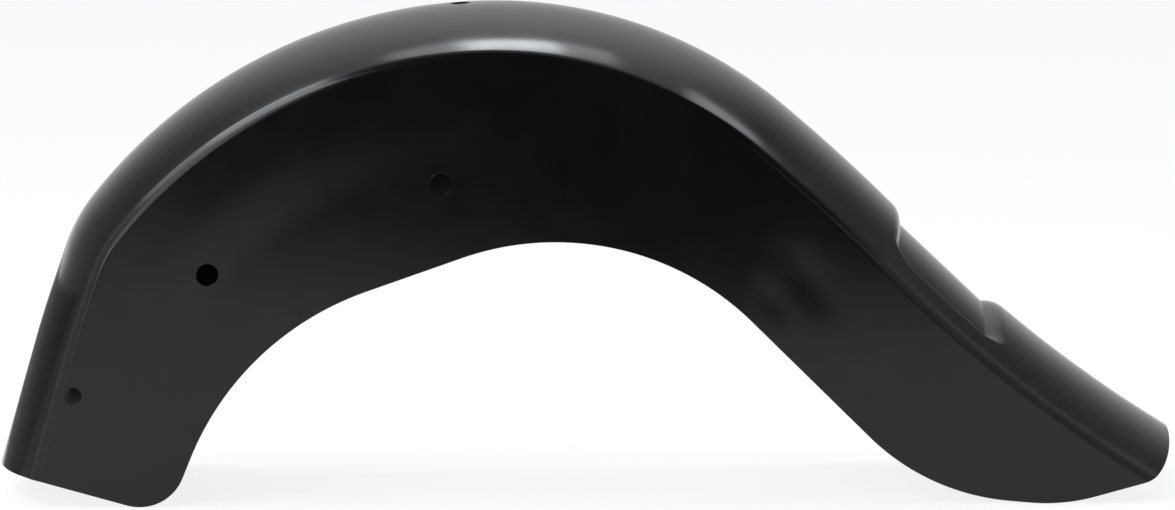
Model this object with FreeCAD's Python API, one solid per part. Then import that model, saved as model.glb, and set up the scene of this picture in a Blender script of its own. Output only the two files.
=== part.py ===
import FreeCAD, Part
import math
import os

os.makedirs("parts", exist_ok=True)

Vector = FreeCAD.Vector

# All sizes are in millimetres and degrees. X runs from the front foot to the tail, Y across, Z up.
# The ridge is the centre line of the crown. A station is a distance along it from its highest point,
# negative towards the front. A depth is a distance below the ridge, square to it.

# Sheet and cross-section
width = 200.0
sheet = 1.5
crown_radius = 165.0
shoulder_radius = 12.0

# Ridge forward of the highest point
arch_front_radius = 448.0
arch_front_turn = 51.4
front_bend_radius = 144.5
front_bend_turn = 19.4
front_upper_straight = 41.0
front_flare_radius = 900.0
front_flare_turn = 2.75
front_lower_straight = 113.5

# Ridge behind the highest point, the last bend curving upwards
arch_rear_radius = 387.5
arch_rear_turn = 40.15
hip_radius = 1509.0
hip_turn = 5.8
tail_radius = 1167.0
tail_turn = 13.26
tail_straight = 19.4

# Corners of the cut edge of the sides, each with its rounding
front_lip_station = -638.6
front_lip_depth = 32.2
front_lip_radius = 60.0
foot_station = -637.4
foot_depth = 153.3
foot_radius = 40.0
arch_foot_station = -460.8
arch_foot_depth = 168.3
arch_foot_radius = 256.0
arch_top_station = 180.1
arch_top_depth = 132.2
arch_top_radius = 239.0
belly_front_station = 570.1
belly_front_depth = 156.3
belly_front_radius = 195.0
belly_rear_station = 660.6
belly_rear_depth = 95.4
belly_rear_radius = 160.0
tail_tip_station = 726.0
tail_tip_depth = 19.2
tail_tip_radius = 40.0

# Lamp pocket pressed into the crown
pocket_start = 410.8
pocket_length = 115.0
pocket_width = 157.0
pocket_corner_radius = 22.0
pocket_depth = 8.4
pocket_side_draft = 25.0
pocket_end_slope = 45.0
pocket_upper_arch = 330.0
pocket_lower_arch = 140.0
pocket_bend_radius = 3.0
pocket_rim_radius = 3.0

# Holes
strut_hole_diameter = 19.0
strut_front_station = -370.3
strut_front_depth = 114.8
strut_rear_station = -65.2
strut_rear_depth = 141.4
front_hole_diameter = 14.0
front_hole_station = -558.2
front_hole_depth = 47.5
seat_hole_diameter = 16.0
seat_hole_station = -29.0

# Construction allowances: how far cutting tools and untrimmed ends run past the finished shape
run_out = 60.0
side_start = 4.0

half_width = width / 2
lean = math.asin((half_width - shoulder_radius) / (crown_radius - shoulder_radius))
shoulder_depth = crown_radius - (crown_radius - shoulder_radius) * math.cos(lean)
cap_depth = shoulder_depth + side_start


def along(angle):
    a = math.radians(angle)
    return Vector(math.cos(a), 0, math.sin(a))


def outward(angle):
    a = math.radians(angle)
    return Vector(-math.sin(a), 0, math.cos(a))


def ridge_pieces():
    """Pieces of the ridge from front to tail: start point, start direction, length, radius (0 straight,
    positive curving down, negative curving up) and start station."""
    ahead = [
        (math.radians(arch_front_turn) * arch_front_radius, arch_front_radius),
        (math.radians(front_bend_turn) * front_bend_radius, front_bend_radius),
        (front_upper_straight, 0.0),
        (math.radians(front_flare_turn) * front_flare_radius, front_flare_radius),
        (front_lower_straight + run_out, 0.0),
    ]
    behind = [
        (math.radians(arch_rear_turn) * arch_rear_radius, arch_rear_radius),
        (math.radians(hip_turn) * hip_radius, hip_radius),
        (math.radians(tail_turn) * tail_radius, -tail_radius),
        (tail_straight + run_out, 0.0),
    ]
    pieces = []
    point, angle, station = Vector(0, 0, 0), 0.0, 0.0
    for length, radius in ahead:
        point, angle = step(point, angle, -length, radius)
        station -= length
        pieces.insert(0, (point, angle, length, radius, station))
    point, angle, station = Vector(0, 0, 0), 0.0, 0.0
    for length, radius in behind:
        pieces.append((point, angle, length, radius, station))
        point, angle = step(point, angle, length, radius)
        station += length
    return pieces


def step(point, angle, length, radius):
    """Moves a point and its direction along a straight or an arc."""
    if radius == 0:
        return point + along(angle) * length, angle
    end = angle - math.degrees(length / radius)
    return point - outward(angle) * radius + outward(end) * radius, end


PIECES = ridge_pieces()


def ridge_at(station):
    """Point and direction of the ridge at a station."""
    for point, angle, length, radius, start in PIECES:
        if station <= start + length:
            break
    return step(point, angle, station - start, radius)


def below_ridge(station, depth):
    point, angle = ridge_at(station)
    return point - outward(angle) * depth


def mirrored(point):
    return Vector(point.x, -point.y, point.z)


def section(inset):
    """Cross-section of the filled crown in the YZ plane with the ridge at the origin, set in from outside."""
    half = half_width - inset
    crown = crown_radius - inset
    bend = shoulder_radius - inset
    centre_y = half - bend
    crown_y = crown * math.sin(lean)
    crown_z = crown * math.cos(lean) - crown_radius
    mid = (math.pi / 2 - lean) / 2
    bend_y = centre_y + bend * math.cos(mid)
    bend_z = bend * math.sin(mid) - shoulder_depth
    foot = Vector(0, half, -cap_depth)
    side = Vector(0, half, -shoulder_depth)
    shoulder = Vector(0, bend_y, bend_z)
    crown_end = Vector(0, crown_y, crown_z)
    edges = [
        Part.makeLine(mirrored(foot), mirrored(side)),
        Part.Arc(mirrored(side), mirrored(shoulder), mirrored(crown_end)).toShape(),
        Part.Arc(mirrored(crown_end), Vector(0, 0, -inset), crown_end).toShape(),
        Part.Arc(crown_end, shoulder, side).toShape(),
        Part.makeLine(side, foot),
        Part.makeLine(foot, mirrored(foot)),
    ]
    return Part.Face(Part.Wire(edges))


def placed(shape, point, angle):
    """Copy of a shape from the YZ plane, set square to the ridge direction at a point."""
    copy = shape.copy()
    copy.rotate(Vector(0, 0, 0), Vector(0, 1, 0), -angle)
    copy.translate(point)
    return copy


def crown_body(inset):
    """The filled crown and shoulders, carried along the whole ridge."""
    face = section(inset)
    bodies = []
    for point, angle, length, radius, start in PIECES:
        here = placed(face, point, angle)
        if radius == 0:
            bodies.append(here.extrude(along(angle) * length))
        else:
            centre = point - outward(angle) * radius
            bodies.append(here.revolve(centre, Vector(0, 1, 0), math.degrees(length / radius)))
    return bodies


def side_body(inset):
    """The filled space between the sides, from the crown body down past the cut edge."""
    edges = []
    for point, angle, length, radius, start in PIECES:
        stops = []
        for part in (0.0, 0.5, 1.0):
            p, a = step(point, angle, length * part, radius)
            stops.append(p - outward(a) * cap_depth)
        if radius == 0:
            edges.append(Part.makeLine(stops[0], stops[2]))
        else:
            edges.append(Part.Arc(stops[0], stops[1], stops[2]).toShape())
    first = edges[0].Vertexes[0].Point
    last = edges[-1].Vertexes[-1].Point
    floor = min(first.z, last.z) - crown_radius
    low = [last, Vector(last.x, 0, floor), Vector(first.x, 0, floor), first]
    for i in range(3):
        edges.append(Part.makeLine(low[i], low[i + 1]))
    half = half_width - inset
    face = Part.Face(Part.Wire(edges))
    face.translate(Vector(0, -half, 0))
    return face.extrude(Vector(0, 2 * half, 0))


def filled_body(inset):
    bodies = crown_body(inset) + [side_body(inset)]
    return bodies[0].multiFuse(bodies[1:]).removeSplitter()


def pocket_frame():
    """Middle point of the pocket's rim on the ridge and its direction there."""
    first = ridge_at(pocket_start)[0]
    last = ridge_at(pocket_start + pocket_length)[0]
    run = last - first
    return (first + last) * 0.5, math.degrees(math.atan2(run.z, run.x))


def arch_body(inset, radius, point, angle, run):
    """Body with an arch across its top, carried along a run from a point of its top line."""
    half = radius - inset
    ends = [Vector(0, -half, -radius), Vector(0, half, -radius)]
    arch = Part.Arc(ends[0], Vector(0, 0, -inset), ends[1]).toShape()
    face = Part.Face(Part.Wire([arch, Part.makeLine(ends[1], ends[0])]))
    return placed(face, point, angle).extrude(run)


def pocket_ramps(inset, angle):
    """Bodies under the two sloping ends of the pocket, which pass through its rim on the ridge. Their arches
    differ from the crown's, so that in the side view the rim's two ends stand nearly upright."""
    ramps = []
    for station, slope, radius in (
        (pocket_start, pocket_end_slope, pocket_upper_arch),
        (pocket_start + pocket_length, -pocket_end_slope, pocket_lower_arch),
    ):
        set_back = inset * math.tan(math.radians(slope) / 2)
        rim = ridge_at(station)[0] - along(angle) * set_back
        run = along(angle - slope) * (2 * pocket_length)
        ramps.append(arch_body(inset, radius, rim - run, angle, run * 2))
    return ramps


def pocket_block(inset, middle, angle):
    """Block with the pocket's leaning sides, long enough for both ramps to leave through its top."""
    side_slope = math.radians(pocket_side_draft)
    rim_half = pocket_width / 2
    rim_depth = crown_radius - math.sqrt(crown_radius**2 - rim_half**2)
    low = -rim_depth - 2 * pocket_depth
    high = pocket_depth
    half = rim_half + inset / math.cos(side_slope)
    low_half = half + (low + rim_depth) * math.tan(side_slope)
    high_half = half + (high + rim_depth) * math.tan(side_slope)
    corners = [
        Vector(0, -low_half, low),
        Vector(0, low_half, low),
        Vector(0, high_half, high),
        Vector(0, -high_half, high),
    ]
    face = Part.Face(Part.makePolygon(corners + corners[:1]))
    length = pocket_length + 4 * (high - low) / math.tan(math.radians(pocket_end_slope))
    return placed(face, middle - along(angle) * (length / 2), angle).extrude(along(angle) * length)


def pocket_space(inset):
    """The space that the lamp pocket takes out of a filled body set in from outside."""
    middle, angle = pocket_frame()
    ramps = pocket_ramps(inset, angle)
    start = middle - along(angle) * pocket_length - outward(angle) * pocket_depth
    base = arch_body(inset, crown_radius, start, angle, along(angle) * (2 * pocket_length))
    space = pocket_block(inset, middle, angle).cut(base.multiFuse(ramps))
    slopes = Part.Compound(ramps)
    standing = []
    for edge in space.Edges:
        spot = edge.valueAt((edge.FirstParameter + edge.LastParameter) / 2)
        if abs(spot.y) > pocket_width / 4 and Part.Vertex(spot).distToShape(slopes)[0] < 0.001:
            standing.append(edge)
    space = space.makeFillet(pocket_corner_radius + inset, standing)
    spot = Part.Vertex(middle - outward(angle) * (pocket_depth + inset))
    floor = min(space.Faces, key=lambda face: face.distToShape(spot)[0])
    return space.makeFillet(pocket_bend_radius + inset, floor.Edges)


def with_pocket(body, inset):
    """A filled body with the pocket pressed in and its rim rounded."""
    space = pocket_space(inset)
    skin = Part.Compound(body.Faces)
    walls = Part.Compound(space.Faces)
    body = body.cut(space)
    rim = []
    for edge in body.Edges:
        spot = Part.Vertex(edge.valueAt((edge.FirstParameter + edge.LastParameter) / 2))
        if spot.distToShape(walls)[0] < 0.001 and spot.distToShape(skin)[0] < 0.001:
            rim.append(edge)
    body = body.makeFillet(pocket_rim_radius - inset, rim)
    return body


def corner_arcs(corners):
    """Open outline through corner points, each but the first and last rounded with its own radius."""
    edges = []
    at = corners[0][0]
    for i in range(1, len(corners) - 1):
        corner, radius = corners[i]
        back = (corners[i - 1][0] - corner).normalize()
        on = (corners[i + 1][0] - corner).normalize()
        half_angle = back.getAngle(on) / 2
        cut = radius / math.tan(half_angle)
        middle = (back + on).normalize()
        near = corner + middle * (radius / math.sin(half_angle) - radius)
        edges.append(Part.makeLine(at, corner + back * cut))
        edges.append(Part.Arc(corner + back * cut, near, corner + on * cut).toShape())
        at = corner + on * cut
    edges.append(Part.makeLine(at, corners[-1][0]))
    return edges


def trim_body():
    """Solid whose side view is the finished side outline, open above the crown."""
    front_end = -ahead_length() - front_lower_straight
    tail_end = behind_length() + tail_straight
    lip = below_ridge(front_lip_station, front_lip_depth)
    tip = below_ridge(tail_tip_station, tail_tip_depth)
    start = ridge_at(front_end)[0]
    start = start + (start - lip).normalize() * run_out
    finish = ridge_at(tail_end)[0]
    finish = finish + (finish - tip).normalize() * run_out
    corners = [
        (start, 0),
        (lip, front_lip_radius),
        (below_ridge(foot_station, foot_depth), foot_radius),
        (below_ridge(arch_foot_station, arch_foot_depth), arch_foot_radius),
        (below_ridge(arch_top_station, arch_top_depth), arch_top_radius),
        (below_ridge(belly_front_station, belly_front_depth), belly_front_radius),
        (below_ridge(belly_rear_station, belly_rear_depth), belly_rear_radius),
        (tip, tail_tip_radius),
        (finish, 0),
    ]
    edges = corner_arcs(corners)
    over = [finish, Vector(finish.x, 0, run_out), Vector(start.x, 0, run_out), start]
    for i in range(3):
        edges.append(Part.makeLine(over[i], over[i + 1]))
    face = Part.Face(Part.Wire(edges))
    face.translate(Vector(0, -width, 0))
    return face.extrude(Vector(0, 2 * width, 0))


def ahead_length():
    arcs = math.radians(arch_front_turn) * arch_front_radius
    arcs += math.radians(front_bend_turn) * front_bend_radius
    arcs += math.radians(front_flare_turn) * front_flare_radius
    return arcs + front_upper_straight


def behind_length():
    arcs = math.radians(arch_rear_turn) * arch_rear_radius
    arcs += math.radians(hip_turn) * hip_radius
    return arcs + math.radians(tail_turn) * tail_radius


def side_drill(station, depth, diameter):
    point = below_ridge(station, depth)
    return Part.makeCylinder(diameter / 2, 2 * width, point - Vector(0, width, 0), Vector(0, 1, 0))


def drills():
    seat = ridge_at(seat_hole_station)[0]
    return [
        side_drill(strut_front_station, strut_front_depth, strut_hole_diameter),
        side_drill(strut_rear_station, strut_rear_depth, strut_hole_diameter),
        side_drill(front_hole_station, front_hole_depth, front_hole_diameter),
        Part.makeCylinder(seat_hole_diameter / 2, 2 * cap_depth, seat - Vector(0, 0, cap_depth)),
    ]


def fender_shell():
    outer = with_pocket(filled_body(0.0), 0.0)
    inner = with_pocket(filled_body(sheet), sheet)
    shell = outer.cut(inner).common(trim_body()).cut(drills())
    shell = shell.removeSplitter()
    return shell


shell = fender_shell()
box = shell.optimalBoundingBox()
shift = Vector(-(box.XMin + box.XMax) / 2, 0, -box.ZMin)
shell.translate(shift)
shell.exportStep("parts/fender_shell.step")
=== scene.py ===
import math
import bpy
import numpy as np
from mathutils import Matrix, Vector
from mathutils.geometry import delaunay_2d_cdt


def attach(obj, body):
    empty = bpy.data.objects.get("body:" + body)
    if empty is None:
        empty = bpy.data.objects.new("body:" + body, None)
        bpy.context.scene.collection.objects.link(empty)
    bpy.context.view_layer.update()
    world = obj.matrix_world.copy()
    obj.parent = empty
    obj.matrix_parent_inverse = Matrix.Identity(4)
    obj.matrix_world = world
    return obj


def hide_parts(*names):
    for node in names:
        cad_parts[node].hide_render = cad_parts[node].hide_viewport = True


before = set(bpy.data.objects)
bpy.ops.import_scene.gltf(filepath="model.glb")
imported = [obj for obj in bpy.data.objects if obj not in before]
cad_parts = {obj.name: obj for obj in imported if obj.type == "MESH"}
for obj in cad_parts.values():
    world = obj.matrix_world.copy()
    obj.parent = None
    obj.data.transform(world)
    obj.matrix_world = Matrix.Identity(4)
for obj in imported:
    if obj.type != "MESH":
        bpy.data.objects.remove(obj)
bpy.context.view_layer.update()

# Sizes of the fender in millimetres. A station is a distance along the crown's ridge from its highest point,
# negative towards the front. A depth is a distance below the ridge, square to it.
MILLIMETRE = 0.001
WIDTH = 200.0
SHEET = 1.5
CROWN_RADIUS = 165.0
SHOULDER_RADIUS = 12.0
EDGE_ROUNDING = 0.35

# Place of the ridge's highest point in the frame, x and z
APEX = (-76.54, 424.406)

# Straight run of the ridge and of the cut edge beyond the point where they meet, at both ends
RUN_OUT = 60.0


def arc(turn, radius):
    """Run of the ridge that turns by so many degrees, as length and radius; a negative radius curves up."""
    return math.radians(turn) * abs(radius), radius


def straight(length):
    """Run of the ridge without a bend, as length and radius 0."""
    return length, 0.0


# Ridge in runs away from its highest point
RIDGE_AHEAD = [arc(51.4, 448.0), arc(19.4, 144.5), straight(41.0), arc(2.75, 900.0), straight(113.5)]
RIDGE_BEHIND = [arc(40.15, 387.5), arc(5.8, 1509.0), arc(13.26, -1167.0), straight(19.4)]
FRONT_END = -sum(length for length, radius in RIDGE_AHEAD)
TAIL_END = sum(length for length, radius in RIDGE_BEHIND)

# Corners of the cut edge from the front lip to the tip of the tail: station, depth, rounding
SIDE_CORNERS = [
    (-638.6, 32.2, 60.0),
    (-637.4, 153.3, 40.0),
    (-460.8, 168.3, 256.0),
    (180.1, 132.2, 239.0),
    (570.1, 156.3, 195.0),
    (660.6, 95.4, 160.0),
    (726.0, 19.2, 40.0),
]

# Holes of each side: station, depth, diameter; seat hole on the ridge: station, diameter
SIDE_HOLES = [(-370.3, 114.8, 19.0), (-65.2, 141.4, 19.0), (-558.2, 47.5, 14.0)]
SEAT_HOLE = (-29.0, 16.0)

# Lamp pocket. A pair of values is for its upper and its lower end. A skew is how far that end of the rim
# moves towards the tail for each millimetre that the crown falls away sideways.
POCKET_START = 410.8
POCKET_LENGTH = 115.0
POCKET_WIDTH = 157.0
POCKET_CORNER = 18.0
POCKET_SKEWS = (0.52, 0.95)
POCKET_DEPTH = 8.4
POCKET_SIDE_DRAFT = math.radians(25.0)
POCKET_END_DRAFTS = (math.radians(38.0), math.radians(45.0))
POCKET_BEND = 3.0
POCKET_SIDE_ROUNDING = 3.0
POCKET_END_ROUNDING = 26.0

# How soon the rounding of the pocket's ends shrinks round its corners, and the share of a wall it may take
ROUNDING_POWER = 6
ROUNDING_ROOM = 0.96

# Slack of the pressed sides: its depth, and where it comes in and goes out along x and below the shoulder
SLACK_DEPTH = 1.1
SLACK_IN = (-350.0, -190.0)
SLACK_OUT = (-70.0, 70.0)
SLACK_BELOW = (30.0, 95.0)

# Dents of the pressed sides: x and z from the ridge's highest point, turn in radians, length, breadth, depth
SIDE_DENTS = [(270.0, -230.0, 2.08, 34.0, 16.0, 0.62), (238.0, -248.0, 2.08, 19.0, 10.0, 0.26)]

# Mesh steps as lengths, and as counts
STATION_STEP = 4.0
EDGE_STEP = 3.0
SIDE_STEP = 7.0
POCKET_FLOOR_STEP = 5.0
FEWEST_ARC_STEPS = 4
CROWN_STEPS = 28
SHOULDER_STEPS = 12
SIDE_HOLE_STEPS = 64
SEAT_HOLE_STEPS = 48
POCKET_CORNER_STEPS = 14
POCKET_RIM_STEPS = 10
POCKET_BEND_STEPS = 6
RIDGE_STEPS = 96

# Windows in the crown's grid round the pocket and the seat hole: first and last station, columns on either
# side of the ridge, and the growth of the opening's loop to a helper loop outside it
POCKET_WINDOW = (396.0, 564.0, 27, 1.035)
SEAT_WINDOW = (-44.0, -16.0, 4, 1.25)

# Ends of the crown's grid: a station within and one beyond the fender, and the length drawn to the cut edge
FRONT_REACH = (-560.0, -700.0)
TAIL_REACH = (640.0, 760.0)
FRONT_STRETCH = 80.0
TAIL_STRETCH = 60.0

# Share of the pocket's floor that its grid fills, share of a hole's radius that counts as open, and the
# distance at which points of a mesh are taken as one
FLOOR_GRID_SHARE = 0.96
HOLE_SHARE = 0.995
SAME_POINT = 1e-6

# Rounds of the searches: for the cut edge, for a place on the crown, and for the pocket's floor
EDGE_ROUNDS = 40
PLACE_ROUNDS = 8
FLOOR_ROUNDS = 20

# Satin black paint: its two tones, patterns as scale and detail, heights in metres, and spreads as the first
# and last value of a pattern with the result for each
PAINT_TONES = ((0.0022, 0.0022, 0.0024, 1.0), (0.0036, 0.0037, 0.0040, 1.0))
PAINT_IOR = 1.4
CLOUD_PATTERN = (9.0, 3.0)
CLOUD_SPREAD = (0.3, 0.7, 0.0, 1.0)
GLOSS_PATTERN = (45.0, 4.0)
GLOSS_SPREAD = (0.3, 0.7, 0.14, 0.18)
WAVE_PATTERN = (7.0, 1.0)
WAVE_HEIGHT = 0.0006
PEEL_PATTERN = (700.0, 2.0)
PEEL_HEIGHT = 0.000004

# Floor and dark screen in metres; the floor's outline starts at the left end of its front edge
FLOOR_OUTLINE = [
    (-12.0, -2.0),
    (-0.68, -1.86),
    (0.14, -1.02),
    (0.2, -1.2),
    (0.4, -1.22),
    (0.5, -1.4),
    (1.1, -4.0),
    (12.0, -4.0),
    (12.0, 12.0),
    (-12.0, 12.0),
]
FLOOR_COLOUR = (0.85, 0.85, 0.85, 1.0)
FLOOR_ROUGHNESS = 0.9
FLOOR_GLOW = 0.85
FLAG_X = -0.62
FLAG_LENGTH = 0.75
FLAG_HEIGHTS = (0.21, 0.13)
FLAG_COLOUR = (0.2, 0.2, 0.21, 1.0)

# Studio: the backdrop's brightest direction, how narrow its glow is, its levels, and fades as the first and
# last value of a direction's x or y with the level for each
BACKDROP_MIDDLE = (0.04, 0.55, 0.834)
BACKDROP_FOCUS = 10.0
BACKDROP_GLOW = 0.95
BACKDROP_LEVEL = 0.74
BACKDROP_FRONT = (-0.38, -0.1, 0.0, 1.0)
BACKDROP_RIGHT = (0.35, 0.7, 1.0, 0.42)
BACKDROP_LEFT = (-0.35, -0.75, 1.0, 0.45)
LEFT_WALL = (-0.38, -0.7, 0.0, 1.0)
LEFT_WALL_BACK = (0.45, 0.1, 0.0, 1.0)
RIGHT_WALL = (0.5, 0.85, 0.0, 0.5)
ROOM_LEVEL = 0.02

# Soft lamps in metres: name, place, aim, size, radiance, spin in degrees
LAMP_COLOUR = (0.93, 0.965, 1.0)
LAMPS = [
    ("overhead_wide", (0.0, 0.64, 2.8), (0.0, -0.08, 0.42), (1.7, 0.5), 3.3, 10.0),
    ("overhead_core", (0.03, 0.60, 2.6), (0.0, -0.08, 0.42), (0.66, 0.36), 13.6, 12.0),
    ("left_bank", (-1.75, -1.3, 2.4), (-1.75, -1.3, 0.0), (1.2, 3.4), 7.2, 0.0),
    ("left_outer", (-2.9, -1.2, 2.4), (-2.9, -1.2, 0.0), (1.0, 3.2), 3.2, 0.0),
    ("left_panel", (-1.55, -2.6, 1.0), (-0.2, 0.0, 0.3), (1.2, 1.9), 2.6, 15.0),
    ("right_card", (1.02, -1.6, 0.38), (0.0, -1.6, 0.38), (3.4, 0.74), 0.6, 0.0),
    ("right_bank", (1.85, 0.03, 2.4), (1.85, 0.03, 0.0), (0.95, 1.55), 4.5, 0.0),
]

# Camera in metres, its sensor in millimetres, and the photo's width in pixels with the millimetres that one
# pixel covers at the middle of the fender
CAMERA_AIM = (0.00346, 0.0, 0.2021)
CAMERA_DISTANCE = 5.5
CAMERA_PITCH = math.radians(9.0)
CAMERA_ROLL = math.radians(0.27)
SENSOR_WIDTH = 36.0
PHOTO_WIDTH = 1175
PIXEL_SIZE = 0.87

HALF = WIDTH / 2
LEAN = math.asin((HALF - SHOULDER_RADIUS) / (CROWN_RADIUS - SHOULDER_RADIUS))
SHOULDER_DEPTH = CROWN_RADIUS - (CROWN_RADIUS - SHOULDER_RADIUS) * math.cos(LEAN)
CROWN_ARC = CROWN_RADIUS * LEAN
SHOULDER_ARC = SHOULDER_RADIUS * (math.pi / 2 - LEAN)


def unit(v):
    return v / np.linalg.norm(v, axis=-1, keepdims=True)


def ridge(station):
    """Points (x, z) and headings of the ridge at stations; both ends run on straight."""
    s = np.atleast_1d(np.asarray(station, float))
    x, z, heading = np.zeros_like(s), np.zeros_like(s), np.zeros_like(s)
    for runs, sign in ((RIDGE_AHEAD, -1), (RIDGE_BEHIND, 1)):
        start = 0.0
        for i, (length, radius) in enumerate(runs):
            reach = length + (RUN_OUT if i == len(runs) - 1 else 0.0)
            run = sign * np.clip(sign * s - start, 0, reach)
            turn = run / radius if radius else 0 * run
            chord = run * np.sinc(turn / (2 * math.pi))
            x = x + chord * np.cos(heading - turn / 2)
            z = z + chord * np.sin(heading - turn / 2)
            heading = heading - turn
            start += length
    return np.stack([x, z], axis=-1), heading


def below_ridge(station, depth):
    """Points (x, z) at stations and depths."""
    point, heading = ridge(station)
    return point + np.asarray(depth).reshape(-1, 1) * np.stack([np.sin(heading), -np.cos(heading)], axis=-1)


def rounded_path(corners, step):
    """Points along straight runs joined by an arc at each inner corner."""
    points = [corners[0][0]]
    for (before, _), (corner, radius), (after, _) in zip(corners, corners[1:], corners[2:]):
        back, on = unit(before - corner), unit(after - corner)
        half = math.acos(np.clip(back @ on, -1, 1)) / 2
        centre = corner + unit(back + on) * radius / math.sin(half)
        first = corner + back * radius / math.tan(half) - centre
        last = corner + on * radius / math.tan(half) - centre
        turn = math.atan2(first[0] * last[1] - first[1] * last[0], first @ last)
        count = max(FEWEST_ARC_STEPS, math.ceil(abs(turn) * radius / step))
        for i in range(count + 1):
            a = turn * i / count
            spin = np.array([[math.cos(a), -math.sin(a)], [math.sin(a), math.cos(a)]])
            points.append(centre + spin @ first)
    points.append(corners[-1][0])
    path = [points[0]]
    for p in points[1:]:
        parts = max(1, round(float(np.linalg.norm(p - path[-1])) / (2 * step)))
        start = path[-1]
        path += [start + (p - start) * (i + 1) / parts for i in range(parts)]
    return np.array(path)


def cut_edge():
    """The cut edge in the side view, from above the front end round the sides to above the tail."""
    corners = [(below_ridge(s, d)[0], radius) for s, d, radius in SIDE_CORNERS]
    start, finish = ridge(FRONT_END)[0][0], ridge(TAIL_END)[0][0]
    start = start + unit(start - corners[0][0]) * RUN_OUT
    finish = finish + unit(finish - corners[-1][0]) * RUN_OUT
    return rounded_path([(start, 0.0)] + corners + [(finish, 0.0)], EDGE_STEP)


def inside(points, polygon):
    """Which of the points lie in a closed polygon."""
    x, z = points[:, :1], points[:, 1:]
    a, b = polygon, np.roll(polygon, -1, axis=0)
    crosses = (a[:, 1] > z) != (b[:, 1] > z)
    rise = np.where(a[:, 1] == b[:, 1], 1.0, b[:, 1] - a[:, 1])
    at = a[:, 0] + (z - a[:, 1]) * (b[:, 0] - a[:, 0]) / rise
    return np.sum(crosses & (x < at), axis=1) % 2 == 1


def end_stations(depths, within, beyond, edge):
    """Stations where the lines of the crown at these depths meet the cut edge."""
    top = np.array([[edge[-1, 0], RUN_OUT], [edge[0, 0], RUN_OUT]])
    outline = np.concatenate([edge, top])
    near, far = np.full(len(depths), float(within)), np.full(len(depths), float(beyond))
    for _ in range(EDGE_ROUNDS):
        middle = (near + far) / 2
        kept = inside(below_ridge(middle, depths), outline)
        near, far = np.where(kept, middle, near), np.where(kept, far, middle)
    return near


def section_depth(across):
    """Depths of the cross-section at arc lengths across."""
    a = np.abs(across)
    crown = np.minimum(a, CROWN_ARC) / CROWN_RADIUS
    tilt = crown + np.clip(a - CROWN_ARC, 0, SHOULDER_ARC) / SHOULDER_RADIUS
    return CROWN_RADIUS * (1 - np.cos(crown)) + SHOULDER_RADIUS * (np.cos(crown) - np.cos(tilt))


def triangles(points, loops, keep):
    """Triangles between closed loops of points, of which keep says by its middle which stay."""
    edges = []
    for loop in loops:
        edges += [(loop[i], loop[(i + 1) % len(loop)]) for i in range(len(loop))]
    flat = [Vector((float(p[0]), float(p[1]))) for p in points]
    within_loops = 1
    _, _, faces, origin, _, _ = delaunay_2d_cdt(flat, edges, [], within_loops, SAME_POINT)
    faces = np.array([[origin[v][0] for v in face] for face in faces])
    return faces[keep(points[faces].mean(axis=1))]


class Skin:
    """Outer surface under construction: points, normals and faces."""

    def __init__(self):
        self.points, self.normals, self.faces = [], [], []

    def add(self, points, normals):
        first = len(self.points)
        self.points += list(points)
        self.normals += list(normals)
        return np.arange(first, first + len(points))


# The pocket's own frame: x along its chord on the ridge, y across, z outwards
POCKET_ENDS = ridge([POCKET_START, POCKET_START + POCKET_LENGTH])[0]
POCKET_MIDDLE = POCKET_ENDS.mean(axis=0)
POCKET_ALONG = unit(POCKET_ENDS[1] - POCKET_ENDS[0])
POCKET_OUT = np.array([-POCKET_ALONG[1], POCKET_ALONG[0]])


def crown_under(x, y):
    """Stations, arc lengths across and heights of the crown at places in the pocket's frame."""
    across = CROWN_RADIUS * np.arcsin(y / CROWN_RADIUS)
    depth = section_depth(across)
    station = POCKET_START + POCKET_LENGTH / 2 + x
    for _ in range(PLACE_ROUNDS):
        place = below_ridge(station, depth) - POCKET_MIDDLE
        station = station + x - place @ POCKET_ALONG
    return station, across, (below_ridge(station, depth) - POCKET_MIDDLE) @ POCKET_OUT


def turn_from_pocket(n):
    """Directions from the pocket's frame to the fender's."""
    side = n[..., :1] * POCKET_ALONG + n[..., 2:] * POCKET_OUT
    return np.stack([side[..., 0], n[..., 1], side[..., 1]], axis=-1)


def from_pocket(p):
    """Points from the pocket's frame to the fender's."""
    return turn_from_pocket(p) + np.array([POCKET_MIDDLE[0], 0.0, POCKET_MIDDLE[1]])


def pocket_floor(y):
    """Height of the pocket's floor at places across."""
    return np.sqrt(CROWN_RADIUS**2 - y**2) - CROWN_RADIUS - POCKET_DEPTH


def pocket_rim():
    """Plan of the pocket's rim, anticlockwise, with its outward direction at each point. Its ends are
    skewed, so that they stand nearly upright in the side view."""
    plan, out = [], []
    corner_centre = np.array([POCKET_LENGTH, POCKET_WIDTH]) / 2 - POCKET_CORNER
    for quarter, signs in enumerate(((1, 1), (-1, 1), (-1, -1), (1, -1))):
        centre = corner_centre * signs
        for i in range(POCKET_CORNER_STEPS + 1):
            a = math.pi / 2 * (quarter + i / POCKET_CORNER_STEPS)
            m = np.array([math.cos(a), math.sin(a)])
            plan.append(centre + POCKET_CORNER * m)
            out.append(m)
        side = 2 * corner_centre[quarter % 2]
        parts = round(side / STATION_STEP)
        on = np.array([-m[1], m[0]])
        for i in range(1, parts):
            plan.append(plan[-1] + on * side / parts)
            out.append(m)
    plan, out = np.array(plan), np.array(out)

    # The skew goes over from the upper end's to the lower end's
    y = plan[:, 1]
    level = np.sqrt(CROWN_RADIUS**2 - y**2)
    lower_part = plan[:, 0] / POCKET_LENGTH + 0.5
    skew = POCKET_SKEWS[0] * (1 - lower_part) + POCKET_SKEWS[1] * lower_part
    plan[:, 0] += skew * (CROWN_RADIUS - level)
    out[:, 1] -= skew * y / level * out[:, 0]
    return plan, unit(out)


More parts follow.
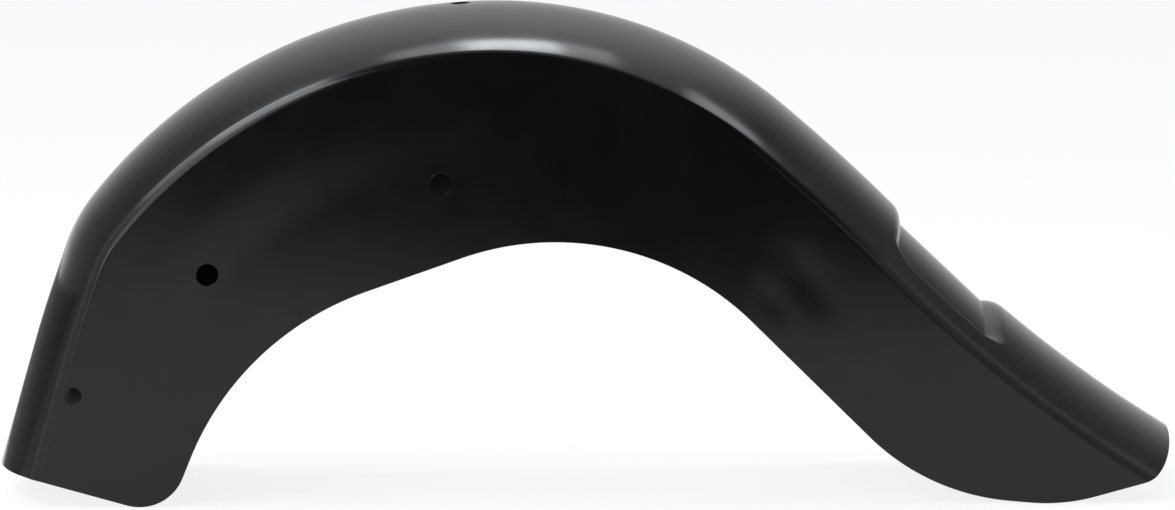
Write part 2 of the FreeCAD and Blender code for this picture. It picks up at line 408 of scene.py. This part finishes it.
def turn_between(d_in, d_out):
    """Angles between pairs of directions."""
    cosine = np.sum(d_in * d_out, axis=-1, keepdims=True)
    return np.arccos(np.clip(cosine, -1, 1))


def bend(corner, tangent, d_in, d_out, radius, count):
    """Rounding between two directions at each corner of a loop: rows of points and of normals."""
    turn = turn_between(d_in, d_out)
    over = unit(d_out - np.cos(turn) * d_in)
    start = corner - d_in * radius * np.tan(turn / 2)
    rows, normals = [], []
    for i in range(count + 1):
        a = turn * i / count
        rows.append(start + radius * (np.sin(a) * d_in + (1 - np.cos(a)) * over))
        normals.append(unit(np.cross(tangent, np.cos(a) * d_in + np.sin(a) * over)))
    return rows, normals


def pocket_rows():
    """Closed rows of points from the crown over the rim and down to the floor, in the pocket's frame."""
    plan, out = pocket_rim()
    x, y = plan[:, 0], plan[:, 1]
    rim = np.stack([x, y, crown_under(x, y)[2]], axis=-1)
    tangent = unit(np.roll(rim, -1, axis=0) - np.roll(rim, 1, axis=0))

    # Direction in along the crown, from its slopes along the pocket and across
    step = 0.5
    climb = (crown_under(x + step, y)[2] - crown_under(x - step, y)[2]) / (2 * step)
    fall = y / np.sqrt(CROWN_RADIUS**2 - y**2)
    inward = unit(np.stack([-out[:, 0], -out[:, 1], fall * out[:, 1] - climb * out[:, 0]], axis=-1))

    # Walls lean by the draft of the end or side that they face, and run down to the floor
    end_draft = np.where(out[:, :1] < 0, POCKET_END_DRAFTS[0], POCKET_END_DRAFTS[1])
    draft = end_draft * out[:, :1]**2 + POCKET_SIDE_DRAFT * out[:, 1:]**2
    down = np.concatenate([-out * np.sin(draft), -np.cos(draft)], axis=-1)
    drop = np.full((len(rim), 1), POCKET_DEPTH)
    for _ in range(FLOOR_ROUNDS):
        foot = rim + drop * down
        drop = drop + (foot[:, 2:] - pocket_floor(foot[:, 1:2])) / np.cos(draft)
    foot = rim + drop * down
    fall = foot[:, 1] / np.sqrt(CROWN_RADIUS**2 - foot[:, 1]**2)
    onward = unit(np.stack([-out[:, 0], -out[:, 1], fall * out[:, 1]], axis=-1))

    # The rim's rounding is large at the ends and small at the sides, as far as the wall has room for it
    more = POCKET_END_ROUNDING - POCKET_SIDE_ROUNDING
    rounding = POCKET_SIDE_ROUNDING + more * out[:, :1]**ROUNDING_POWER
    room = drop - POCKET_BEND * np.tan(turn_between(down, onward) / 2)
    rounding = np.minimum(rounding, ROUNDING_ROOM * room / np.tan(turn_between(inward, down) / 2))
    rows, normals = bend(rim, tangent, inward, down, rounding, POCKET_RIM_STEPS)
    low_rows, low_normals = bend(foot, tangent, down, onward, POCKET_BEND, POCKET_BEND_STEPS)
    return rows + low_rows, normals + low_normals


def ring_faces(points, faces, window, loop, growth):
    """Fills the space between a window of the grid and a loop inside it."""
    first = len(points)
    centre = loop.mean(axis=0)
    between = centre + (loop - centre) * growth
    points = np.concatenate([points, loop, between])
    loop_index = np.arange(first, first + len(loop))
    used = np.array(window + list(range(first, len(points))))
    ring = list(range(len(window)))
    inner = [len(window) + i for i in range(len(loop))]
    tris = triangles(points[used], [ring, inner], lambda middles: ~inside(middles, loop))
    return points, faces + [tuple(used[t]) for t in tris], loop_index


def seat_loop():
    """The seat hole's edge, round as seen from straight above, laid out flat."""
    station, diameter = SEAT_HOLE
    a = np.linspace(0, 2 * math.pi, SEAT_HOLE_STEPS, endpoint=False)
    y = diameter / 2 * np.sin(a)
    across = CROWN_RADIUS * np.arcsin(y / CROWN_RADIUS)
    x = ridge(station)[0][0, 0] + diameter / 2 * np.cos(a)
    s = station + diameter / 2 * np.cos(a)
    for _ in range(PLACE_ROUNDS):
        s = s + x - below_ridge(s, section_depth(across))[:, 0]
    return np.stack([s, across], axis=-1)


def stretched_stations(stations, across, edge):
    """Stations of the crown's grid, drawn out or in at both ends so that its lines end on the cut edge."""
    depth = section_depth(across)
    front = end_stations(depth, *FRONT_REACH, edge)
    tail = end_stations(depth, *TAIL_REACH, edge)
    front_from, tail_from = stations[0] + FRONT_STRETCH, stations[-1] - TAIL_STRETCH
    s = np.repeat(stations[:, None], len(across), axis=1)
    ahead = (front_from - s) / FRONT_STRETCH
    s = np.where(s < front_from, front_from + ahead * (front - front_from), s)
    past = (s - tail_from) / TAIL_STRETCH
    return np.where(s > tail_from, tail_from + past * (tail - tail_from), s)


def nearest(stations, value):
    """Index of the station nearest to a value."""
    return int(np.argmin(np.abs(stations - value)))


def crown_blank():
    """The crown and shoulders laid out flat: points (station, arc across), faces, and the rows that other
    surfaces join: the two lower edges, the rim of the pocket and the cut edge."""
    crown = np.linspace(0, CROWN_ARC, CROWN_STEPS + 1)
    shoulder = CROWN_ARC + np.linspace(0, SHOULDER_ARC, SHOULDER_STEPS + 1)[1:]
    half = np.concatenate([crown, shoulder])
    across = np.concatenate([-half[:0:-1], half])
    first, last = math.ceil(FRONT_END / STATION_STEP), math.floor(TAIL_END / STATION_STEP)
    stations = np.arange(first, last + 1) * STATION_STEP
    edge = cut_edge()
    s = stretched_stations(stations, across, edge)
    points = np.stack([s, np.repeat(across[None], len(stations), axis=0)], axis=-1).reshape(-1, 2)
    index = np.arange(len(points)).reshape(s.shape)
    middle = CROWN_STEPS + SHOULDER_STEPS
    open_cells = np.zeros((len(stations) - 1, len(across) - 1), bool)

    # Cells of the grid left open, with the ring of points round each window
    windows = []
    for low, high, columns, _ in (POCKET_WINDOW, SEAT_WINDOW):
        i, j = nearest(stations, low), nearest(stations, high)
        a, b = middle - columns, middle + columns
        open_cells[i:j, a:b] = True
        ring = list(index[i:j, a]) + list(index[j, a:b]) + list(index[j:i:-1, b]) + list(index[i, b:a:-1])
        windows.append(ring)
    quads = np.stack([index[:-1, :-1], index[1:, :-1], index[1:, 1:], index[:-1, 1:]], axis=-1)
    faces = [tuple(q) for q in quads[~open_cells]]

    # The space between each window and its opening, and the points that are in use
    rows, _ = pocket_rows()
    rim = np.stack(crown_under(rows[0][:, 0], rows[0][:, 1])[:2], axis=-1)
    points, faces, rim_index = ring_faces(points, faces, windows[0], rim, POCKET_WINDOW[3])
    points, faces, _ = ring_faces(points, faces, windows[1], seat_loop(), SEAT_WINDOW[3])
    used = np.unique(np.concatenate([np.array(face) for face in faces]))
    new = np.full(len(points), -1)
    new[used] = np.arange(len(used))
    faces = [tuple(int(new[v]) for v in face) for face in faces]
    return points[used], faces, new[index[:, 0]], new[index[:, -1]], new[rim_index], edge


def placed(name, data):
    """New object with this data, linked to the scene."""
    piece = bpy.data.objects.new(name, data)
    bpy.context.scene.collection.objects.link(piece)
    return piece


def feed(tree, socket, value):
    """Links a socket to a value's socket, or sets it to a plain value."""
    if isinstance(value, bpy.types.NodeSocket):
        tree.links.new(value, socket)
    elif value is not None:
        socket.default_value = value


def calc(tree, operation, a, b=None, c=None):
    """Result of a sum on values or sockets."""
    node = tree.nodes.new("ShaderNodeMath")
    node.operation = operation
    for socket, value in zip(node.inputs, (a, b, c)):
        feed(tree, socket, value)
    return node.outputs[0]


def calc_vector(tree, operation, a, b=None, scale=None):
    """Result of a sum on vectors."""
    node = tree.nodes.new("ShaderNodeVectorMath")
    node.operation = operation
    feed(tree, node.inputs[0], a)
    feed(tree, node.inputs[1], b)
    if scale is not None:
        feed(tree, node.inputs["Scale"], scale)
    return node.outputs["Value" if operation == "DOT_PRODUCT" else "Vector"]


def split(tree, vector):
    node = tree.nodes.new("ShaderNodeSeparateXYZ")
    feed(tree, node.inputs[0], vector)
    return node.outputs


def joined(tree, x, y, z):
    node = tree.nodes.new("ShaderNodeCombineXYZ")
    for socket, value in zip(node.inputs, (x, y, z)):
        feed(tree, socket, value)
    return node.outputs[0]


def section_tree():
    """Geometry nodes that carry the cross-section along the ridge. A flat blank goes in, whose x is the
    station and whose y is the arc length across. The pressed crown with its normals comes out."""
    tree = bpy.data.node_groups.new("carry_section", "GeometryNodeTree")
    inputs = [
        ("Blank", "Geometry"),
        ("Ridge", "Object"),
        ("First station", "Float"),
        ("Crown radius", "Float"),
        ("Shoulder radius", "Float"),
        ("Half width", "Float"),
        ("Paint", "Material"),
    ]
    for name, kind in inputs:
        tree.interface.new_socket(name, in_out="INPUT", socket_type="NodeSocket" + kind)
    tree.interface.new_socket("Crown", in_out="OUTPUT", socket_type="NodeSocketGeometry")
    given = tree.nodes.new("NodeGroupInput").outputs
    station, across, _ = split(tree, tree.nodes.new("GeometryNodeInputPosition").outputs[0])

    source = tree.nodes.new("GeometryNodeObjectInfo")
    feed(tree, source.inputs["Object"], given["Ridge"])
    sample = tree.nodes.new("GeometryNodeSampleCurve")
    sample.mode = "LENGTH"
    feed(tree, sample.inputs["Curves"], source.outputs["Geometry"])
    feed(tree, sample.inputs["Length"], calc(tree, "SUBTRACT", station, given["First station"]))
    along_x, _, along_z = split(tree, sample.outputs["Tangent"])
    up = joined(tree, calc(tree, "MULTIPLY", along_z, -1.0), 0.0, along_x)

    crown, shoulder = given["Crown radius"], given["Shoulder radius"]
    reach = calc(tree, "SUBTRACT", given["Half width"], shoulder)
    lean = calc(tree, "ARCSINE", calc(tree, "DIVIDE", reach, calc(tree, "SUBTRACT", crown, shoulder)))
    crown_arc = calc(tree, "MULTIPLY", crown, lean)
    away = calc(tree, "ABSOLUTE", across)
    crown_turn = calc(tree, "DIVIDE", calc(tree, "MINIMUM", away, crown_arc), crown)
    past = calc(tree, "MAXIMUM", calc(tree, "SUBTRACT", away, crown_arc), 0.0)
    tilt = calc(tree, "ADD", crown_turn, calc(tree, "DIVIDE", past, shoulder))
    sine, cosine = calc(tree, "SINE", tilt), calc(tree, "COSINE", tilt)
    crown_sine, crown_cosine = calc(tree, "SINE", crown_turn), calc(tree, "COSINE", crown_turn)
    out = calc(tree, "MULTIPLY_ADD", shoulder, calc(tree, "SUBTRACT", sine, crown_sine),
               calc(tree, "MULTIPLY", crown, crown_sine))
    depth = calc(tree, "MULTIPLY_ADD", shoulder, calc(tree, "SUBTRACT", crown_cosine, cosine),
                 calc(tree, "MULTIPLY", crown, calc(tree, "SUBTRACT", 1.0, crown_cosine)))
    side = calc(tree, "SIGN", across)

    drop = calc_vector(tree, "SCALE", up, scale=depth)
    place = calc_vector(tree, "SUBTRACT", sample.outputs["Position"], drop)
    place = calc_vector(tree, "ADD", place, joined(tree, 0.0, calc(tree, "MULTIPLY", side, out), 0.0))
    normal = calc_vector(tree, "ADD", calc_vector(tree, "SCALE", up, scale=cosine),
                         joined(tree, 0.0, calc(tree, "MULTIPLY", side, sine), 0.0))
    store = tree.nodes.new("GeometryNodeStoreNamedAttribute")
    store.data_type = "FLOAT_VECTOR"
    store.domain = "POINT"
    store.inputs["Name"].default_value = "skin_normal"
    feed(tree, store.inputs["Geometry"], given["Blank"])
    feed(tree, store.inputs["Value"], normal)
    move = tree.nodes.new("GeometryNodeSetPosition")
    feed(tree, move.inputs["Geometry"], store.outputs["Geometry"])
    feed(tree, move.inputs["Position"], place)
    realize = tree.nodes.new("GeometryNodeRealizeInstances")
    feed(tree, realize.inputs["Geometry"], move.outputs["Geometry"])
    paint = tree.nodes.new("GeometryNodeSetMaterial")
    feed(tree, paint.inputs["Geometry"], realize.outputs["Geometry"])
    feed(tree, paint.inputs["Material"], given["Paint"])
    feed(tree, tree.nodes.new("NodeGroupOutput").inputs["Crown"], paint.outputs["Geometry"])
    return tree


def ridge_curve():
    """The ridge as a curve with one knot at each change of bend, and the station of its first knot."""
    runs = RIDGE_AHEAD[::-1] + RIDGE_BEHIND
    runs[0] = (runs[0][0] + RUN_OUT, 0.0)
    runs[-1] = (runs[-1][0] + RUN_OUT, 0.0)
    knots = FRONT_END - RUN_OUT + np.concatenate([[0.0], np.cumsum([length for length, _ in runs])])
    points, headings = ridge(knots)
    curve = bpy.data.curves.new("ridge", "CURVE")
    curve.dimensions = "3D"
    curve.resolution_u = RIDGE_STEPS
    spline = curve.splines.new("BEZIER")
    spline.bezier_points.add(len(knots) - 1)
    for i, knot in enumerate(spline.bezier_points):
        knot.handle_left_type = knot.handle_right_type = "FREE"
        here = Vector((points[i, 0], 0.0, points[i, 1]))
        along = Vector((math.cos(headings[i]), 0.0, math.sin(headings[i])))
        reach = [0.0, 0.0]
        for side, run in ((0, i - 1), (1, i)):
            if 0 <= run < len(runs):
                length, radius = runs[run][0], abs(runs[run][1])
                reach[side] = 4 / 3 * math.tan(length / radius / 4) * radius if radius else length / 3
        knot.co = here
        knot.handle_left = here - along * reach[0]
        knot.handle_right = here + along * reach[1]
    return placed("ridge", curve), float(knots[0])


def pressed_crown(points, faces, paint):
    """Runs the blank through the section tree; gives its points and normals."""
    mesh = bpy.data.meshes.new("crown_blank")
    mesh.from_pydata([(s, a, 0.0) for s, a in points], [], faces)
    blank = placed("crown_blank", mesh)
    line, first_station = ridge_curve()
    tree = section_tree()
    values = {"Ridge": line, "First station": first_station, "Crown radius": CROWN_RADIUS,
              "Shoulder radius": SHOULDER_RADIUS, "Half width": HALF, "Paint": paint}
    press = blank.modifiers.new("carry_section", "NODES")
    press.node_group = tree
    for socket in tree.interface.items_tree:
        if socket.name in values:
            press[socket.identifier] = values[socket.name]
    done = bpy.data.meshes.new_from_object(blank.evaluated_get(bpy.context.evaluated_depsgraph_get()))
    count = len(done.vertices)
    place, normal = np.empty(count * 3), np.empty(count * 3)
    done.vertices.foreach_get("co", place)
    done.attributes["skin_normal"].data.foreach_get("vector", normal)
    for thing in (blank, line):
        bpy.data.objects.remove(thing)
    bpy.data.meshes.remove(done)
    return place.reshape(-1, 3), unit(normal.reshape(-1, 3))


def add_pocket(skin, rim_index):
    """Rim, walls and floor of the lamp pocket."""
    rows, normals = pocket_rows()
    above = rim_index
    for row, normal in zip(rows[1:], normals[1:]):
        here = skin.add(from_pocket(row), turn_from_pocket(normal))
        skin.faces += [(above[i - 1], above[i], here[i], here[i - 1]) for i in range(len(here))]
        above = here
    loop = rows[-1][:, :2]
    low, high = np.floor(loop.min(axis=0) / POCKET_FLOOR_STEP), np.ceil(loop.max(axis=0) / POCKET_FLOOR_STEP)
    steps = np.meshgrid(np.arange(low[0], high[0] + 1), np.arange(low[1], high[1] + 1))
    grid = np.stack(steps, axis=-1).reshape(-1, 2) * POCKET_FLOOR_STEP
    centre = loop.mean(axis=0)
    grid = grid[inside(grid, centre + (loop - centre) * FLOOR_GRID_SHARE)]
    flat = np.concatenate([loop, grid])
    tris = triangles(flat, [list(range(len(loop)))], lambda middles: np.ones(len(middles), bool))
    heights = pocket_floor(grid[:, 1])
    lean = grid[:, 1] / np.sqrt(CROWN_RADIUS**2 - grid[:, 1]**2)
    floor = np.concatenate([grid, heights[:, None]], axis=-1)
    normal = unit(np.stack([0 * lean, lean, np.ones_like(lean)], axis=-1))
    index = np.concatenate([above, skin.add(from_pocket(floor), turn_from_pocket(normal))])
    skin.faces += [tuple(index[t]) for t in tris]


def smooth(value, low, high):
    """Soft step from 0 at the low value to 1 at the high one."""
    part = np.clip((value - low) / (high - low), 0, 1)
    return part * part * (3 - 2 * part)


def side_set_in(places):
    """How far the sheet of a side lies in from the flat: slack below the shoulder and shallow dents."""
    arch_radius = RIDGE_AHEAD[0][1]
    depth = arch_radius - np.linalg.norm(places + np.array([0.0, arch_radius]), axis=1)
    slack = smooth(places[:, 0], *SLACK_IN) * (1 - smooth(places[:, 0], *SLACK_OUT))
    inset = SLACK_DEPTH * slack * smooth(depth - SHOULDER_DEPTH, *SLACK_BELOW)
    for x, z, turn, length, breadth, deep in SIDE_DENTS:
        off = places - np.array([x, z])
        on = off @ np.array([math.cos(turn), math.sin(turn)])
        across = off @ np.array([-math.sin(turn), math.cos(turn)])
        inset = inset + deep * np.exp(-(on / length)**2 - (across / breadth)**2)
    return inset


def add_side(skin, row, edge, sign):
    """One side between the shoulder's lower row and the cut edge, with its holes."""
    top = np.array(skin.points)[row][:, [0, 2]]

    def beside(p):
        return int(np.argmin(np.linalg.norm(edge - p, axis=1)))

    lower = edge[beside(top[0]) + 1:beside(top[-1])][::-1]
    far = np.minimum(np.linalg.norm(lower - top[0], axis=1), np.linalg.norm(lower - top[-1], axis=1))
    lower = lower[far > EDGE_STEP / 2]
    outer = np.concatenate([top, lower])
    loops, flat = [list(range(len(outer)))], [outer]
    circles = []
    for station, depth, diameter in SIDE_HOLES:
        centre = below_ridge(station, depth)[0]
        a = np.linspace(0, 2 * math.pi, SIDE_HOLE_STEPS, endpoint=False)
        first = sum(len(part) for part in flat)
        flat.append(centre + diameter / 2 * np.stack([np.cos(a), np.sin(a)], axis=-1))
        loops.append(list(range(first, first + SIDE_HOLE_STEPS)))
        circles.append((centre, diameter / 2))
    low, high = outer.min(axis=0), outer.max(axis=0)
    steps = np.meshgrid(np.arange(low[0], high[0], SIDE_STEP), np.arange(low[1], high[1], SIDE_STEP))
    grid = np.stack(steps, axis=-1).reshape(-1, 2)
    grid = grid[inside(grid, outer)]
    rim = np.concatenate(flat)
    away = np.min(np.linalg.norm(grid[:, None] - rim[None], axis=-1), axis=1)
    grid = grid[away > SIDE_STEP / 2]
    for centre, radius in circles:
        grid = grid[np.linalg.norm(grid - centre, axis=1) > radius]
    flat = np.concatenate([rim, grid])

    def solid(middles):
        kept = np.ones(len(middles), bool)
        for centre, radius in circles:
            kept &= np.linalg.norm(middles - centre, axis=1) > radius * HOLE_SHARE
        return kept

    tris = triangles(flat, loops, solid)
    new = flat[len(top):]
    places = np.stack([new[:, 0], sign * (HALF - side_set_in(new)), new[:, 1]], axis=-1)
    slopes = [(side_set_in(new + step) - side_set_in(new - step)) / 2 for step in np.eye(2)]
    normals = unit(np.stack([slopes[0], np.full(len(new), float(sign)), slopes[1]], axis=-1))
    index = np.concatenate([row, skin.add(places, normals)])
    if sign > 0:
        tris = tris[:, ::-1]
    skin.faces += [tuple(index[t]) for t in tris]


def open_loops(faces):
    """Closed loops of the edges that only one face uses, each with its face on the left."""
    links = {}
    for face in faces:
        for a, b in zip(face, face[1:] + face[:1]):
            links[(a, b)] = True
    following = {a: b for a, b in links if (b, a) not in links}
    loops = []
    while following:
        start, at = following.popitem()
        loop = [start]
        while at != start:
            loop.append(at)
            at = following.pop(at)
        loops.append(loop)
    return loops


def sheet_from(skin):
    """Gives the skin its thickness inwards and a softened cut edge."""
    points, normals = np.array(skin.points), unit(np.array(skin.normals))
    faces = [tuple(int(v) for v in face) for face in skin.faces]
    rims = []
    for loop in open_loops(faces):
        p, n = points[loop], normals[loop]
        tangent = unit(np.roll(p, -1, axis=0) - np.roll(p, 1, axis=0))
        rims.append((loop, p, n, unit(np.cross(tangent, n))))
    for loop, p, n, out in rims:
        points[loop] = p - EDGE_ROUNDING * out
    count = len(points)
    inner = points - SHEET * normals
    all_points, all_normals = [points, inner], [normals, -normals]
    all_faces = faces + [tuple(v + count for v in reversed(face)) for face in faces]
    total = 2 * count
    r = EDGE_ROUNDING
    soft = r * (1 - math.sqrt(0.5))
    for loop, p, n, out in rims:
        size = len(loop)
        rows = [
            (soft, soft, unit(n + out)),
            (0.0, r, out),
            (0.0, SHEET - r, out),
            (soft, SHEET - soft, unit(out - n)),
        ]
        above = np.array(loop)
        for back, down, normal in rows:
            all_points.append(p - back * out - down * n)
            all_normals.append(normal)
            here = np.arange(total, total + size)
            total += size
            all_faces += rim_quads(above, here)
            above = here
        all_faces += rim_quads(above, np.array(loop) + count)
    return np.concatenate(all_points), np.concatenate(all_normals), all_faces


def rim_quads(above, below):
    return [(int(above[i]), int(above[i - 1]), int(below[i - 1]), int(below[i])) for i in range(len(above))]


def fender_shell(paint):
    """The whole shell as one mesh, in its place in the frame."""
    skin = Skin()
    blank, faces, near_row, far_row, rim_index, edge = crown_blank()
    points, normals = pressed_crown(blank, faces, paint)
    skin.add(points, normals)
    skin.faces += faces
    add_pocket(skin, rim_index)
    add_side(skin, near_row, edge, -1)
    add_side(skin, far_row, edge, 1)
    points, normals, faces = sheet_from(skin)
    points = (points + np.array([APEX[0], 0.0, APEX[1]])) * MILLIMETRE
    mesh = bpy.data.meshes.new("fender_shell_painted")
    mesh.from_pydata(points.tolist(), [], faces)
    mesh.materials.append(paint)
    mesh.polygons.foreach_set("use_smooth", [True] * len(mesh.polygons))
    mesh.normals_split_custom_set_from_vertices(normals.tolist())
    mesh.update()
    return placed("fender_shell_painted", mesh)


def noise(tree, place, scale, detail):
    node = tree.nodes.new("ShaderNodeTexNoise")
    feed(tree, node.inputs["Vector"], place)
    node.inputs["Scale"].default_value = scale
    node.inputs["Detail"].default_value = detail
    return node.outputs["Fac"]


def ranged(tree, value, spread, soft=False):
    """Maps a value from one range to another, given as first, last, and the result for each."""
    node = tree.nodes.new("ShaderNodeMapRange")
    if soft:
        node.interpolation_type = "SMOOTHSTEP"
    feed(tree, node.inputs["Value"], value)
    for name, number in zip(("From Min", "From Max", "To Min", "To Max"), spread):
        node.inputs[name].default_value = number
    return node.outputs["Result"]


def bump(tree, height, distance, normal=None):
    node = tree.nodes.new("ShaderNodeBump")
    node.inputs["Distance"].default_value = distance
    feed(tree, node.inputs["Height"], height)
    feed(tree, node.inputs["Normal"], normal)
    return node.outputs["Normal"]


def black_paint():
    """Satin black paint on pressed sheet: long soft waves of the sheet, fine orange peel, uneven gloss."""
    material = bpy.data.materials.new("black_paint")
    material.use_nodes = True
    tree = material.node_tree
    shader = tree.nodes["Principled BSDF"]
    place = tree.nodes.new("ShaderNodeTexCoord").outputs["Object"]
    # The mix node's sockets for colours are its inputs 6 and 7 and its output 2
    tint = tree.nodes.new("ShaderNodeMix")
    tint.data_type = "RGBA"
    feed(tree, tint.inputs[0], ranged(tree, noise(tree, place, *CLOUD_PATTERN), CLOUD_SPREAD))
    tint.inputs[6].default_value, tint.inputs[7].default_value = PAINT_TONES
    feed(tree, shader.inputs["Base Color"], tint.outputs[2])
    feed(tree, shader.inputs["Roughness"], ranged(tree, noise(tree, place, *GLOSS_PATTERN), GLOSS_SPREAD))
    shader.inputs["IOR"].default_value = PAINT_IOR
    waves = bump(tree, noise(tree, place, *WAVE_PATTERN), WAVE_HEIGHT)
    peel = bump(tree, noise(tree, place, *PEEL_PATTERN), PEEL_HEIGHT, waves)
    feed(tree, shader.inputs["Normal"], peel)
    return material


def plain_finish(name, colour, roughness):
    material = bpy.data.materials.new(name)
    material.use_nodes = True
    shader = material.node_tree.nodes["Principled BSDF"]
    shader.inputs["Base Color"].default_value = colour
    shader.inputs["Roughness"].default_value = roughness
    return material


def pale_floor():
    """Pale matt finish that the camera and reflections see almost evenly white."""
    material = plain_finish("pale_floor", FLOOR_COLOUR, FLOOR_ROUGHNESS)
    tree = material.node_tree
    path = tree.nodes.new("ShaderNodeLightPath").outputs
    seen = calc(tree, "MAXIMUM", path["Is Camera Ray"], path["Is Glossy Ray"])
    seen = calc(tree, "MAXIMUM", seen, path["Is Transmission Ray"])
    mix = tree.nodes.new("ShaderNodeMixShader")
    feed(tree, mix.inputs[0], calc(tree, "MULTIPLY", seen, FLOOR_GLOW))
    feed(tree, mix.inputs[1], tree.nodes["Principled BSDF"].outputs[0])
    feed(tree, mix.inputs[2], tree.nodes.new("ShaderNodeEmission").outputs[0])
    feed(tree, tree.nodes["Material Output"].inputs["Surface"], mix.outputs[0])
    return material


def floor():
    """Pale floor. Its front edge is out of the picture, and the near side reflects it up to that edge."""
    mesh = bpy.data.meshes.new("floor")
    mesh.from_pydata([(x, y, 0.0) for x, y in FLOOR_OUTLINE], [], [tuple(range(len(FLOOR_OUTLINE)))])
    mesh.materials.append(pale_floor())
    placed("floor", mesh)


def dark_flag():
    """Dark grey screen beside the front end, seen only in the reflection on its crown."""
    near, far = FLAG_HEIGHTS
    corners = [(0.0, 0.0), (FLAG_LENGTH, 0.0), (FLAG_LENGTH, far), (0.0, near)]
    mesh = bpy.data.meshes.new("dark_flag")
    mesh.from_pydata([(FLAG_X, y, z) for y, z in corners], [], [(0, 1, 2, 3)])
    mesh.materials.append(plain_finish("dark_flag", FLAG_COLOUR, 1.0))
    piece = placed("dark_flag", mesh)
    piece.visible_camera = False
    piece.visible_diffuse = False
    piece.visible_shadow = False


def studio_world():
    """White all round for the camera. For light and reflections it is a pale backdrop behind and above, a
    pale wall on the left, a dim one on the right and a dark room in front."""
    world = bpy.data.worlds.new("studio")
    bpy.context.scene.world = world
    world.use_nodes = True
    tree = world.node_tree
    direction = tree.nodes.new("ShaderNodeTexCoord").outputs["Generated"]
    x, y, _ = split(tree, direction)
    off = calc(tree, "SUBTRACT", calc_vector(tree, "DOT_PRODUCT", direction, BACKDROP_MIDDLE), 1.0)
    glow = calc(tree, "EXPONENT", calc(tree, "MULTIPLY", off, BACKDROP_FOCUS))
    backdrop = calc(tree, "MULTIPLY_ADD", glow, BACKDROP_GLOW, BACKDROP_LEVEL)
    for part, fade in ((y, BACKDROP_FRONT), (x, BACKDROP_RIGHT), (x, BACKDROP_LEFT)):
        backdrop = calc(tree, "MULTIPLY", backdrop, ranged(tree, part, fade, soft=True))
    left = ranged(tree, x, LEFT_WALL, soft=True)
    left = calc(tree, "MULTIPLY", left, ranged(tree, y, LEFT_WALL_BACK, soft=True))
    walls = calc(tree, "MAXIMUM", left, ranged(tree, x, RIGHT_WALL, soft=True))
    level = calc(tree, "MAXIMUM", calc(tree, "MAXIMUM", backdrop, walls), ROOM_LEVEL)
    path = tree.nodes.new("ShaderNodeLightPath").outputs
    seen = calc(tree, "MAXIMUM", path["Is Camera Ray"], path["Is Transmission Ray"])
    feed(tree, tree.nodes["Background"].inputs["Strength"], calc(tree, "MAXIMUM", level, seen))
    tree.nodes["Background"].inputs["Color"].default_value = (1.0, 1.0, 1.0, 1.0)


def softbox(name, place, aim, size, radiance, spin):
    """Soft lamp at a place, turned to a point and spun about its beam, as bright as its radiance says."""
    lamp = bpy.data.lights.new(name, "AREA")
    lamp.shape = "RECTANGLE"
    lamp.size, lamp.size_y = size
    lamp.energy = radiance * math.pi * size[0] * size[1]
    lamp.color = LAMP_COLOUR
    toward = (Vector(aim) - Vector(place)).to_track_quat("-Z", "Y")
    spun = Matrix.Rotation(math.radians(spin), 4, "Z")
    placed(name, lamp).matrix_world = Matrix.Translation(place) @ toward.to_matrix().to_4x4() @ spun


def camera():
    """Long lens facing the near side, a little above it."""
    turn = Matrix.Rotation(CAMERA_ROLL, 3, "Y")
    back = turn @ Vector((0.0, -math.cos(CAMERA_PITCH), math.sin(CAMERA_PITCH)))
    right = turn @ Vector((1.0, 0.0, 0.0))
    up = back.cross(right)
    lens = bpy.data.cameras.new("camera")
    lens.sensor_width = SENSOR_WIDTH
    lens.sensor_fit = "HORIZONTAL"
    lens.lens = SENSOR_WIDTH * CAMERA_DISTANCE / (PHOTO_WIDTH * PIXEL_SIZE * MILLIMETRE)
    piece = placed("camera", lens)
    axes = Matrix((right, up, back)).transposed().to_4x4()
    piece.matrix_world = Matrix.Translation(Vector(CAMERA_AIM) + back * CAMERA_DISTANCE) @ axes
    bpy.context.scene.camera = piece


bpy.context.scene.view_settings.view_transform = "Standard"
paint = black_paint()
shell = fender_shell(paint)
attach(shell, "root")
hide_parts("fender_shell")
floor()
dark_flag()
studio_world()
for lamp in LAMPS:
    softbox(*lamp)
camera()
